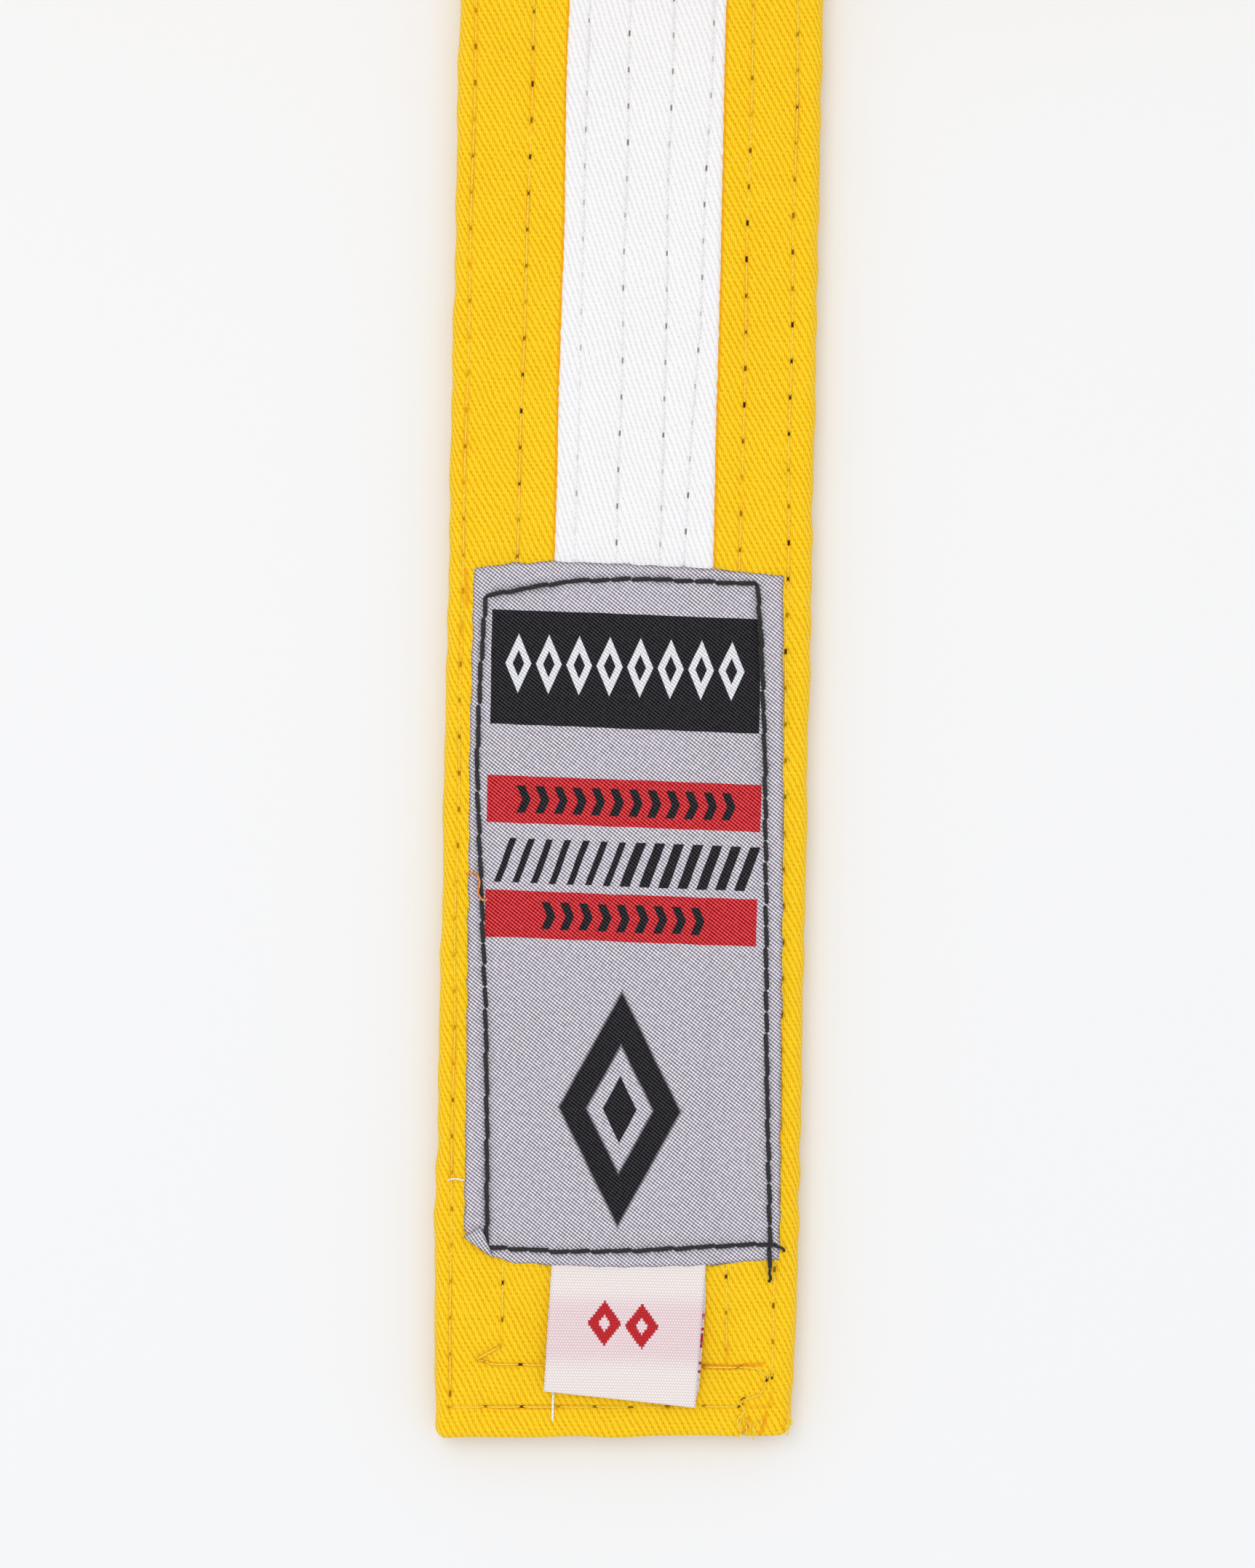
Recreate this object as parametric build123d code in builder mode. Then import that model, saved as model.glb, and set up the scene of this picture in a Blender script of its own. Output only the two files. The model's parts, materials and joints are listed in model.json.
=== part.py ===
from build123d import *
import os
from math import pi

# A martial arts belt: three core plies wrapped in a twill cover, a stripe tape sewn along both faces,
# rows of topstitching, a label with a folded size tab at one end, and the rest of the length rolled up.
# Millimetres. X is across the belt, +Y runs from the labelled end to the roll, Z is up from the floor.

# ---- belt section ----
belt_width = 40.0
edge_radius = 1.2           # the cover's folded long edges
cover_wall = 0.6
ply_thickness = 0.8
ply_width = 37.4
ply_names = ("back_ply", "middle_ply", "front_ply")
stripe_width = 17.2
stripe_thickness = 0.5
stripe_x = 0.65             # the tape is sewn a little off centre
butt_gap = 0.4              # between the cover's two raw edges, under the back stripe

# ---- stitching ----
thread_width = 0.5
thread_depth = 0.3          # threads are sunk into the cloth, flush with it
cover_rows = (-17.9, -12.0, 12.3, 17.4)     # across the belt, through the cover
stripe_rows = (-5.8, -1.2, 3.5, 7.5)        # across the belt, through the stripe tapes
cross_rows = ((3.2, cover_rows[0], cover_rows[3]), (7.5, -16.0, 14.8))      # from the end, and their X span

# ---- lengths along the belt, from the labelled end ----
end_bend_at = 110.0         # hinge between the labelled end and the strap
strap_bend_at = 185.0       # hinge between the strap and the rolled length
roll_at = 262.0             # where the belt leaves the floor and starts to roll up
bend_gap = 1.7              # each flat section stops this far from its hinge
front_stripe_from = 26.0    # the front tape starts under the label
end_wall = cover_wall

# ---- roll, a spiral of half turns about two centres ----
roll_radius = 61.0          # middle of the belt in the outermost half turn
roll_pitch = 4.9            # from one turn to the next
half_turns = 22

# ---- label and size tab ----
label_x, label_width = 0.3, 34.2
label_from, label_length = 19.2, 76.5
label_thickness = 0.4
label_ramp = 0.9            # run over which the label steps up onto the stripe
ramp_clearance = 0.05
frame_left, frame_right = -15.1, 15.4       # the label's stitched frame
frame_near, frame_far = 20.9, 93.2
frame_depth = 0.2
tape_x, tape_width, tape_leaf = 0.8, 16.9, 0.25
tab_fold_at, tab_root_at = 4.6, 17.6
tab_lift = 0.1              # air under the tab
tab_fold_radius = 0.225     # middle of the tape
tape_from, tape_to = 19.6, 25.6             # the tape's ends, caught under the label

# ---- worked out ----
core_thickness = len(ply_names) * ply_thickness
cover_thickness = core_thickness + 2 * cover_wall
back_face = stripe_thickness
front_face = back_face + cover_thickness
mid_height = back_face + cover_thickness / 2
belt_thickness = front_face + stripe_thickness
rolled_length = sum(pi * (roll_radius - k * roll_pitch / 2) for k in range(half_turns))
total_length = roll_at + rolled_length
model_length = roll_at + roll_radius + belt_thickness / 2
half_length = model_length / 2
stripe_left = stripe_x - stripe_width / 2
stripe_right = stripe_x + stripe_width / 2


def along(distance):
    """Y of a point this far along the flat belt from its labelled end."""
    return distance - half_length


def across_plane(distance):
    """The belt's cross-section plane at a distance from the labelled end, X to the right, Z up."""
    return Plane.XZ.offset(-along(distance))


def save(piece, label):
    """Label a finished piece and write its STEP file."""
    piece.part.label = label
    export_step(piece.part, f"parts/{label}.step")


def row_marks(rows, low, high):
    """Draw a thread's rectangle at each row, from one height to another."""
    with Locations(*[(x, (low + high) / 2) for x in rows]):
        Rectangle(thread_width, high - low)


# ---- cross-sections, each drawn in the open sketch ----
def cover_outline():
    with Locations((0, mid_height)):
        RectangleRounded(belt_width, cover_thickness, edge_radius)


def cover_wrap():
    """The wrapped cover: a closed band but for its two raw edges, butted on the back."""
    cover_outline()
    with Locations((0, mid_height)):
        RectangleRounded(belt_width - 2 * cover_wall, core_thickness, edge_radius / 2, mode=Mode.SUBTRACT)
    with Locations((stripe_x, back_face + cover_wall / 2)):
        Rectangle(butt_gap, cover_wall, mode=Mode.SUBTRACT)


def cover_section():
    """The wrapped cover with grooves for its rows."""
    cover_wrap()
    with Locations(*[(x, z) for x in cover_rows
                     for z in (back_face + thread_depth / 2, front_face - thread_depth / 2)]):
        Rectangle(thread_width, thread_depth, mode=Mode.SUBTRACT)


def ply_section(index):
    with Locations((0, back_face + cover_wall + (index + 0.5) * ply_thickness)):
        Rectangle(ply_width, ply_thickness)


def stripe_section(inner, outer):
    """A stripe tape from its sewn-down face to its outer face, with grooves for its rows."""
    away = thread_depth if outer > inner else -thread_depth
    with Locations((stripe_x, (inner + outer) / 2)):
        Rectangle(stripe_width, stripe_thickness)
    with Locations(*[(x, outer - away / 2) for x in stripe_rows]):
        Rectangle(thread_width, thread_depth, mode=Mode.SUBTRACT)


def cover_threads(rows=cover_rows):
    row_marks(rows, back_face, back_face + thread_depth)
    row_marks(rows, front_face - thread_depth, front_face)


def front_stripe_threads():
    row_marks(stripe_rows, belt_thickness - thread_depth, belt_thickness)


def back_stripe_threads():
    row_marks(stripe_rows, 0, thread_depth)


def stripe_threads():
    front_stripe_threads()
    back_stripe_threads()


def front_stripe():
    stripe_section(front_face, belt_thickness)


def back_stripe():
    stripe_section(back_face, 0)


# ---- the two ways a cross-section becomes a length of belt ----
def flat_length(label, start, stop, section):
    """A straight length of the belt lying on the floor."""
    with BuildPart() as piece:
        with BuildSketch(across_plane(start)):
            section()
        extrude(amount=start - stop)
    save(piece, label)


def roll_path():
    """The spiral in the side view: half turns, each tighter than the last by half a pitch."""
    turn = JernArc((along(roll_at), mid_height), (1, 0), roll_radius, 180)
    for k in range(1, half_turns):
        turn = JernArc(turn @ 1, turn % 1, roll_radius - k * roll_pitch / 2, 180)


def rolled_piece(label, section, closed_end=False):
    """A rolled-up length of the belt, from the floor to the belt's other end in the middle of the roll."""
    with BuildPart() as piece:
        with BuildLine(Plane.YZ) as path:
            roll_path()
        with BuildSketch(across_plane(roll_at)):
            section()
        sweep(path=path.wire())
        if closed_end:
            with BuildSketch(across_plane(roll_at)):
                with Locations((0, half_turns / 2 * roll_pitch)):
                    cover_outline()
            extrude(amount=-end_wall)
    save(piece, label)


os.makedirs("parts", exist_ok=True)

# ---- rolled length ----
rolled_piece("rolled_cover", cover_section, closed_end=True)
for index, ply in enumerate(ply_names):
    rolled_piece(f"rolled_{ply}", lambda: ply_section(index))
rolled_piece("rolled_front_stripe", front_stripe)
rolled_piece("rolled_back_stripe", back_stripe)
rolled_piece("rolled_cover_stitching", cover_threads)
rolled_piece("rolled_stripe_stitching", stripe_threads)

# ---- the flat lengths between the roll and the labelled end ----
flat_sections = {
    "lead": (strap_bend_at + bend_gap, roll_at),
    "strap": (end_bend_at + bend_gap, strap_bend_at - bend_gap),
}
for section_name, (start, stop) in flat_sections.items():
    flat_length(f"{section_name}_cover", start, stop, cover_section)
    for index, ply in enumerate(ply_names):
        flat_length(f"{section_name}_{ply}", start, stop, lambda: ply_section(index))
    flat_length(f"{section_name}_front_stripe", start, stop, front_stripe)
    flat_length(f"{section_name}_back_stripe", start, stop, back_stripe)
    flat_length(f"{section_name}_cover_stitching", start, stop, cover_threads)
    flat_length(f"{section_name}_stripe_stitching", start, stop, stripe_threads)

# ---- labelled end ----
end_stop = end_bend_at - bend_gap


def cross_marks():
    """Plan view of the rows sewn across the belt's end, between the long rows they join."""
    for distance, left, right in cross_rows:
        with Locations(((left + right) / 2, along(distance))):
            Rectangle(right - left - thread_width, thread_width)


with BuildPart() as end_cross_stitching:
    for height, depth in ((front_face, -thread_depth), (back_face, thread_depth)):
        with BuildSketch(Plane.XY.offset(height)):
            cross_marks()
        extrude(amount=depth)
save(end_cross_stitching, "end_cross_stitching")

# The outer rows run down to the first cross row, and the inner rows stop at the second.
long_row_starts = {
    cross_rows[0][0] - thread_width / 2: (cover_rows[0], cover_rows[3]),
    cross_rows[1][0] + thread_width / 2: (cover_rows[1], cover_rows[2]),
}
with BuildPart() as end_cover_stitching:
    for start, rows in long_row_starts.items():
        with BuildSketch(across_plane(start)):
            cover_threads(rows)
        extrude(amount=start - end_stop)
save(end_cover_stitching, "end_cover_stitching")

with BuildPart() as end_cover:
    with BuildSketch(across_plane(0)):
        cover_wrap()
    extrude(amount=-end_stop)
    with BuildSketch(across_plane(0)):
        cover_outline()
    extrude(amount=-end_wall)
    add(end_cover_stitching.part, mode=Mode.SUBTRACT)
    add(end_cross_stitching.part, mode=Mode.SUBTRACT)
save(end_cover, "end_cover")

for index, ply in enumerate(ply_names):
    flat_length(f"end_{ply}", end_wall, end_stop, lambda: ply_section(index))
flat_length("end_front_stripe", front_stripe_from, end_stop, front_stripe)
flat_length("end_back_stripe", end_wall, end_stop, back_stripe)
flat_length("end_front_stripe_stitching", front_stripe_from, end_stop, front_stripe_threads)
flat_length("end_back_stripe_stitching", end_wall, end_stop, back_stripe_threads)


# ---- label ----
def label_band(left, right, low, high):
    """The label's cross-section from a depth to another above its underside, stepping over the stripe."""
    foot_left, foot_right = stripe_left - ramp_clearance, stripe_right + ramp_clearance
    under = [(left, front_face), (foot_left - label_ramp, front_face), (foot_left, belt_thickness),
             (foot_right, belt_thickness), (foot_right + label_ramp, front_face), (right, front_face)]
    Polygon(*[(x, z + low) for x, z in under], *[(x, z + high) for x, z in reversed(under)], align=None)


groove_floor = label_thickness - frame_depth
with BuildPart() as label_stitching:
    for start in (frame_near, frame_far):
        with BuildSketch(across_plane(start)):
            label_band(frame_left, frame_right, groove_floor, label_thickness)
        extrude(amount=-thread_width)
    with BuildSketch(across_plane(frame_near + thread_width)):
        row_marks((frame_left + thread_width / 2, frame_right - thread_width / 2),
                  front_face + groove_floor, front_face + label_thickness)
    extrude(amount=frame_near + thread_width - frame_far)
save(label_stitching, "label_stitching")

with BuildPart() as label:
    with BuildSketch(across_plane(label_from)):
        label_band(label_x - label_width / 2, label_x + label_width / 2, 0, label_thickness)
    extrude(amount=-label_length)
    add(label_stitching.part, mode=Mode.SUBTRACT)
save(label, "label")

# ---- size tab, a folded tape whose two ends are caught under the label ----
with BuildPart() as size_tab_ends:
    for leaf in (0, 1):
        with BuildSketch(across_plane(tape_from)):
            with Locations((tape_x, front_face + (leaf + 0.5) * tape_leaf)):
                Rectangle(tape_width, tape_leaf)
        extrude(amount=tape_from - tape_to)
save(size_tab_ends, "size_tab_ends")

with BuildPart() as size_tab:
    lower_leaf = front_face + tab_lift + tape_leaf / 2
    with BuildSketch(Plane.YZ.offset(tape_x)):
        with BuildLine():
            under_leaf = Line((along(tab_root_at), lower_leaf), (along(tab_fold_at), lower_leaf))
            fold = JernArc(under_leaf @ 1, under_leaf % 1, tab_fold_radius, -180)
            Line(fold @ 1, (along(tab_root_at), (fold @ 1).Y))
        trace(line_width=tape_leaf)
    extrude(amount=tape_width / 2, both=True)
save(size_tab, "size_tab")

print("belt length", round(total_length), "model length", round(model_length, 2),
      "half length", round(half_length, 3), "thickness", belt_thickness)
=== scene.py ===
import json
import math

import bpy
import numpy as np
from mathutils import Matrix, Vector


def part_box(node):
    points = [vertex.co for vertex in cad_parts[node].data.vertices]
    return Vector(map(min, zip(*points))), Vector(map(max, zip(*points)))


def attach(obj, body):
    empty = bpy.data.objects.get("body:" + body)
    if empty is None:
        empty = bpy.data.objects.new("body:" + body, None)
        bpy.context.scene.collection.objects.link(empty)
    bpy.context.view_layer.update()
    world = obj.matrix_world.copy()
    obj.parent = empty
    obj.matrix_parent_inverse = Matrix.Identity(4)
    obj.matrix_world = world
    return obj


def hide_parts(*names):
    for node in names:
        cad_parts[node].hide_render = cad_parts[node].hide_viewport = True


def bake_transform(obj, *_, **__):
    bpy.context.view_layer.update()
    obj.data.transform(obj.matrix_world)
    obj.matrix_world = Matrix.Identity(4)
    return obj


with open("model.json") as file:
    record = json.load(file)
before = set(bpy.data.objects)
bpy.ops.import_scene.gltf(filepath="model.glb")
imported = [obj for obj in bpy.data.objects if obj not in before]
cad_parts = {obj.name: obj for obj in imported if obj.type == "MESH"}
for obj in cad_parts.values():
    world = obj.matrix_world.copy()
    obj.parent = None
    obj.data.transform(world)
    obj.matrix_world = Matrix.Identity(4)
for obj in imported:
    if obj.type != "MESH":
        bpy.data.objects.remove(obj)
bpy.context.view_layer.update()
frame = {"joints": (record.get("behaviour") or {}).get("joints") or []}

# Cloth coordinates, in millimetres: u along the belt from its labelled end, v across it to the right,
# h up from the floor under the flat belt. to_space() takes them to the row frame, in metres.
MM = 0.001


# ---- places and sizes from the frame ----
def box_mm(node):
    low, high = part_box(node)
    return np.array(low) / MM, np.array(high) / MM


end_low, end_high = box_mm("end_cover")
END_Y = end_low[1]
HALF_WIDTH = end_high[0]
BACK, FRONT = end_low[2], end_high[2]               # the cover's two faces
MID = (BACK + FRONT) / 2
TOP = box_mm("strap_front_stripe")[1][2]            # face of the front stripe tape
ROLL_AT = box_mm("lead_cover")[1][1] - END_Y
ROLL_RADIUS = box_mm("rolled_cover")[1][1] - END_Y - ROLL_AT - (FRONT - MID)
ROLL_PITCH = 4.9
HALF_TURNS = 22
ARC_RADII = ROLL_RADIUS - np.arange(HALF_TURNS) * ROLL_PITCH / 2
ARC_STARTS = ROLL_AT + np.concatenate([[0], np.cumsum(np.pi * ARC_RADII)])
BELT_LENGTH = ARC_STARTS[-1]

joint_u = {j["name"]: j["pos_m"][1] / MM - END_Y for j in frame["joints"]}
END_BEND, STRAP_BEND, TAB_BEND = joint_u["end_bend"], joint_u["strap_bend"], joint_u["tab_flap"]
SPLICE = 166.0              # where the front length of each layer hands over to the rear length
BEND_REACH = 13.0           # how far either side of a bend the cloth would start to turn; nothing turns it here

# ---- driving dimensions of the cloth ----
PITCH = 4.0                 # stitch length of the long rows
COVER_WALL, STRIPE_WALL = 0.6, TOP - FRONT
EDGE_RUN = 1.35             # how far in from its edge the belt starts to round over
RIM = 0.88                  # radius of the folded-in end
THREAD = 0.095              # radius of the sewing thread
END_SKEW = 0.027            # the end is folded a little out of square
CROSS_NEAR, CROSS_FAR = 3.4, 7.9                    # the two rows sewn across the end


def to_space(u, v, h):
    """Row-frame points in metres: flat as far as the roll, then round its two-centred spiral."""
    u, v, h = (np.array(a, float) for a in np.broadcast_arrays(u, v, h))
    y, z = END_Y + u, h.copy()
    k = np.clip(np.searchsorted(ARC_STARTS, u, side="right") - 1, 0, HALF_TURNS - 1)
    radius = ARC_RADII[k] - (h - MID)
    angle = np.pi * k + (u - ARC_STARTS[k]) / ARC_RADII[k]
    centre = MID + ROLL_RADIUS + (k % 2) * ROLL_PITCH / 2
    rolled = u > ROLL_AT
    y[rolled] = (END_Y + ROLL_AT + radius * np.sin(angle))[rolled]
    z[rolled] = (centre - radius * np.cos(angle))[rolled]
    return np.stack([v, y, z], axis=-1) * MM


# ---- repeatable irregularity ----
def wobble(t, seed, wavelength, amplitude, waves=6):
    """A smooth random line: a few sines around a wavelength."""
    rng = np.random.default_rng(seed)
    t = np.asarray(t, float)
    total = np.zeros(t.shape)
    for _ in range(waves):
        stretch, phase = rng.uniform(0.6, 2.2), rng.uniform(0, 2 * np.pi)
        total += np.sin(2 * np.pi * t * stretch / wavelength + phase)
    return amplitude * total / math.sqrt(waves)


def bumps(u, v, seed, wavelength, amplitude, waves=9):
    """A smooth random surface: a few sines in random directions."""
    rng = np.random.default_rng(seed)
    total = np.zeros(np.broadcast(u, v).shape)
    for _ in range(waves):
        heading, stretch = rng.uniform(0, np.pi), rng.uniform(0.6, 1.8)
        phase = rng.uniform(0, 2 * np.pi)
        across = u * np.cos(heading) + v * np.sin(heading)
        total = total + np.sin(2 * np.pi * across * stretch / wavelength + phase)
    return amplitude * total / math.sqrt(waves)


def ease(t):
    t = np.clip(t, 0, 1)
    return t * t * (3 - 2 * t)


def bell(x, width):
    """1 where x is 0, dying away over a width on either side."""
    return np.exp(-(x / width) ** 2)


def distance_along(us, vs):
    """How far along a line each of its points is."""
    return np.concatenate([[0], np.cumsum(np.hypot(np.diff(us), np.diff(vs)))])


# ---- rows of stitching: (u, v) points from the labelled end towards the roll ----
COVER_ROWS = [
    [(CROSS_NEAR, -18.0), (40, -18.3), (96, -18.35), (158, -18.05)],
    [(9.9, -12.4), (96, -12.4), (158, -11.7)],
    [(CROSS_FAR, 12.3), (96, 12.1), (158, 12.4)],
    [(CROSS_NEAR, 17.3), (40, 17.75), (96, 17.35), (158, 17.3)],
]
STRIPE_ROWS = [
    [(24, -6.0), (96, -6.0), (158, -5.7)],
    [(24, -1.5), (96, -1.45), (158, -1.1)],
    [(24, 3.4), (96, 3.3), (158, 3.6)],
    [(24, 5.8), (97, 5.85), (122, 7.15), (158, 8.1)],
]
CROSS_ROWS = [
    [(CROSS_NEAR, -18.0), (CROSS_NEAR, 17.3)],
    [(9.9, -12.4), (8.4, -15.1), (CROSS_FAR, -13.4), (CROSS_FAR, 15.6), (6.9, 17.0), (4.9, 16.4),
     (4.0, 14.0)],
]
CREASES = [                 # tucks in the cover, with no stitches in them
    [(8.1, 9.6), (7.9, 13.0), (8.35, 16.4)],
    [(95.2, -18.05), (91.4, -17.75)],
    [(2.1, 14.9), (0.2, 14.5)],
    [(2.6, 16.9), (0.3, 16.3)],
]
STRIPE_LEFT = [(20, -8.35), (96, -8.3), (158, -7.85)]
STRIPE_RIGHT = [(20, 9.2), (96, 9.25), (158, 9.4)]


def row_v(points, u, seed=0):
    """A row's place across the belt, with the wander of a hand-guided seam."""
    us, vs = zip(*points)
    return np.interp(u, us, vs) + wobble(u, seed, 46, 0.08)


def long_rows(rows, first_seed):
    """Each row as a function of u, with its own wander."""
    return [lambda u, p=points, s=first_seed + k: row_v(p, u, s) for k, points in enumerate(rows)]


cover_rows = long_rows(COVER_ROWS, 10)
stripe_rows = long_rows(STRIPE_ROWS, 20)
row_phases = np.random.default_rng(5).uniform(0, 1, 8)
cover_phases, stripe_phases = row_phases[:4], row_phases[4:]
# how dark the painted shade in the needle holes is: each long row, then the rows across the end
COVER_HOLES, STRIPE_HOLES = (0.45, 1.0, 0.8, 1.05), (0.6, 0.95, 0.75, 0.9)      # how dark, row by row
CROSS_HOLES = 1.05
stripe_left = long_rows([STRIPE_LEFT], 30)[0]
stripe_right = long_rows([STRIPE_RIGHT], 31)[0]


def skewed(u, v):
    """The end is a little out of square, and its corners are rounded."""
    corner = 0.75 * np.clip((np.abs(v) - 18.2) / 1.8, 0, 1) ** 2
    ragged = wobble(v, 41, 15, 0.09) + 0.45 * bell(v - 14.4, 0.3)
    return u + (END_SKEW * v + corner + ragged) * bell(np.maximum(u, 0), 7)


def half_width(u, side, seed):
    """The belt's edge, a little wavy, and narrower at the folded end."""
    waves = wobble(u, seed, 30, 0.07) + wobble(u, seed + 2, 1.3, 0.012)
    return HALF_WIDTH + 0.05 - 0.45 * bell(u, 9) + waves + side * 0.05


def seam_relief(distance, phase, puff=0.13, groove=0.04, dimple=0.34):
    """How far cloth stands above its mean face near a row: sunk at the thread, dimpled at each hole."""
    from_hole = (phase - np.round(phase)) * PITCH
    sunk = groove + dimple * bell(from_hole, 0.42)
    return puff * (1 - bell(distance, 1.3)) - sunk * bell(distance, 0.27) - puff / 2


def pulled(distance, phase, amount=0.06):
    """Cloth drawn up between two stitches: small puckers beside a row, fading away from it."""
    return amount * np.cos(2 * np.pi * phase) * -bell(distance - 0.9, 0.9)


# ---- meshes ----
def add_object(name, vertices, faces, attributes, material):
    mesh = bpy.data.meshes.new(name)
    mesh.from_pydata(np.asarray(vertices).tolist(), [], faces)
    mesh.update()
    mesh.shade_smooth()
    for key, values in attributes.items():
        layer = mesh.attributes.new(key, "FLOAT_VECTOR", "POINT")
        layer.data.foreach_set("vector", np.asarray(values, np.float32).ravel())
    mesh.materials.append(material)
    made = bpy.data.objects.new(name, mesh)
    bpy.context.scene.collection.objects.link(made)
    return made


def quads(grid, flip=False):
    """Four-sided faces between the points of a grid of point numbers."""
    a, b, c, d = grid[:-1, :-1], grid[:-1, 1:], grid[1:, 1:], grid[1:, :-1]
    order = (a, d, c, b) if flip else (a, b, c, d)
    return np.stack(order, axis=-1).reshape(-1, 4).tolist()


def cloth_mesh(face, lining, step, **attributes):
    """A closed sheet of cloth: a fine face, a coarse lining under every step-th row and column of it,
    and a rim that joins them. face is (rows, columns, 3); attributes are per point of the face."""
    rows, columns = face.shape[:2]
    row_pick = np.unique(np.append(np.arange(0, rows, step[0]), rows - 1))
    column_pick = np.unique(np.append(np.arange(0, columns, step[1]), columns - 1))
    lining = lining[np.ix_(row_pick, column_pick)]
    index = np.arange(rows * columns).reshape(rows, columns)
    under = rows * columns + np.arange(lining.shape[0] * lining.shape[1]).reshape(lining.shape[:2])
    faces = quads(index) + quads(under, flip=True)
    borders = [(index[0], under[0], column_pick, True), (index[-1], under[-1], column_pick, False),
               (index[:, 0], under[:, 0], row_pick, False), (index[:, -1], under[:, -1], row_pick, True)]
    for outer, inner, picks, flip in borders:
        for n, (a, b) in enumerate(zip(picks[:-1], picks[1:])):
            ring = [*outer[a:b + 1].tolist(), int(inner[n + 1]), int(inner[n])]
            faces.append(ring[::-1] if flip else ring)
    points = np.concatenate([face.reshape(-1, 3), lining.reshape(-1, 3)])
    layers = {}
    for key, values in attributes.items():
        picked = values[np.ix_(row_pick, column_pick)]
        layers[key] = np.concatenate([values.reshape(-1, 3), picked.reshape(-1, 3)])
    return points, faces, layers


def cloth(name, face, lining, step, material, **attributes):
    return add_object(name, *cloth_mesh(face, lining, step, **attributes), material)


def joined(one, other):
    """Two cloth meshes as one."""
    (points, faces, layers), (more_points, more_faces, more_layers) = one, other
    faces = faces + [[len(points) + k for k in ring] for ring in more_faces]
    layers = {key: np.concatenate([values, more_layers[key]]) for key, values in layers.items()}
    return np.concatenate([points, more_points]), faces, layers


def spaced(stops, fine, coarse, near):
    """Places from the first stop to the last, at every stop, closer together near each."""
    places = []
    for a, b in zip(stops[:-1], stops[1:]):
        gap = b - a
        offsets = [0.0]
        while offsets[-1] < gap / 2:
            offsets.append(offsets[-1] + fine + (coarse - fine) * min(offsets[-1] / near, 1))
        half = np.array(offsets) * (gap / 2 / offsets[-1])
        places += [*(a + half[:-1]), *(b - half[:0:-1])]
    return np.array([*places, stops[-1]])


def between(lines, nominal, u, fine, coarse, near):
    """Columns that run along the lines, which wander with u, and fill the space between them."""
    stations = spaced(nominal, fine, coarse, near)
    at = np.stack([line(u) for line in lines], axis=1)
    gap = np.clip(np.searchsorted(nominal, stations, side="right") - 1, 0, len(nominal) - 2)
    share = (stations - np.array(nominal)[gap]) / np.diff(nominal)[gap]
    return at[:, gap] * (1 - share) + at[:, gap + 1] * share


def nearest_row(u, v, rows, phases, darkness, starts=None):
    """For every point: distance to the nearest long row, how many stitches along it, how dark its holes."""
    distance, phase, dark = np.full(v.shape, 99.0), np.zeros(v.shape), np.zeros(v.shape)
    for k, (row, offset) in enumerate(zip(rows, phases)):
        away = np.abs(v - row(u))
        if starts is not None:
            away = np.hypot(away, np.maximum(starts[k] - u, 0))
        closer = away < distance
        distance = np.where(closer, away, distance)
        phase = np.where(closer, u / PITCH + offset, phase)
        dark = np.where(closer, darkness[k], dark)
    return distance, phase, dark


def nearest_path(u, v, paths, distance, phase, dark):
    """The same for short rows given as (u, v) points, where they are nearer than what is given."""
    for path in paths:
        run = 0.0
        for (ua, va), (ub, vb) in zip(path[:-1], path[1:]):
            length = math.hypot(ub - ua, vb - va)
            t = np.clip(((u - ua) * (ub - ua) + (v - va) * (vb - va)) / length ** 2, 0, 1)
            away = np.hypot(u - ua - t * (ub - ua), v - va - t * (vb - va))
            closer = away < distance
            distance = np.where(closer, away, distance)
            phase = np.where(closer, (run + t * length) / PITCH, phase)
            dark = np.where(closer, CROSS_HOLES, dark)
            run += length
    return distance, phase, dark


# ---- thread ----
def tubes(name, paths, radius, sides, material):
    """Round threads along paths of row-frame points, in one mesh, with closed ends."""
    vertices, faces, coords = [], [], []
    angles = np.arange(sides) * 2 * np.pi / sides
    count = 0
    for path in paths:
        n = len(path)
        tangent = np.gradient(path, axis=0)
        tangent /= np.linalg.norm(tangent, axis=1, keepdims=True) + 1e-12
        side = np.cross(tangent, (0, 0, 1))
        side /= np.linalg.norm(side, axis=1, keepdims=True) + 1e-12
        lift = np.cross(side, tangent)
        ring = side[:, None] * np.cos(angles)[None, :, None] + lift[:, None] * np.sin(angles)[None, :, None]
        vertices.append((path[:, None] + ring * radius * MM).reshape(-1, 3))
        along = np.concatenate([[0], np.cumsum(np.linalg.norm(np.diff(path, axis=0), axis=1))]) / MM
        grid = count + np.arange(n * sides).reshape(n, sides)
        a, b = grid[:-1], grid[1:]
        faces += np.stack([a, np.roll(a, -1, 1), np.roll(b, -1, 1), b], axis=-1).reshape(-1, 4).tolist()
        faces += [grid[0, ::-1].tolist(), grid[-1].tolist()]
        turn = np.broadcast_to(np.arange(sides) / sides, (n, sides))
        coords.append(np.stack([turn, np.repeat(along[:, None], sides, 1), 0 * turn], -1).reshape(-1, 3))
        count += n * sides
    return add_object(name, np.concatenate(vertices), faces, {"cloth": np.concatenate(coords)}, material)


STITCH_T = np.array([0, 0.05, 0.12, 0.25, 0.5, 0.75, 0.88, 0.95, 1])
STITCH_ARCH = np.sin(np.pi * STITCH_T) ** 0.5
STITCH_DIVE = bell(STITCH_T, 0.1) + bell(1 - STITCH_T, 0.1)


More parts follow.
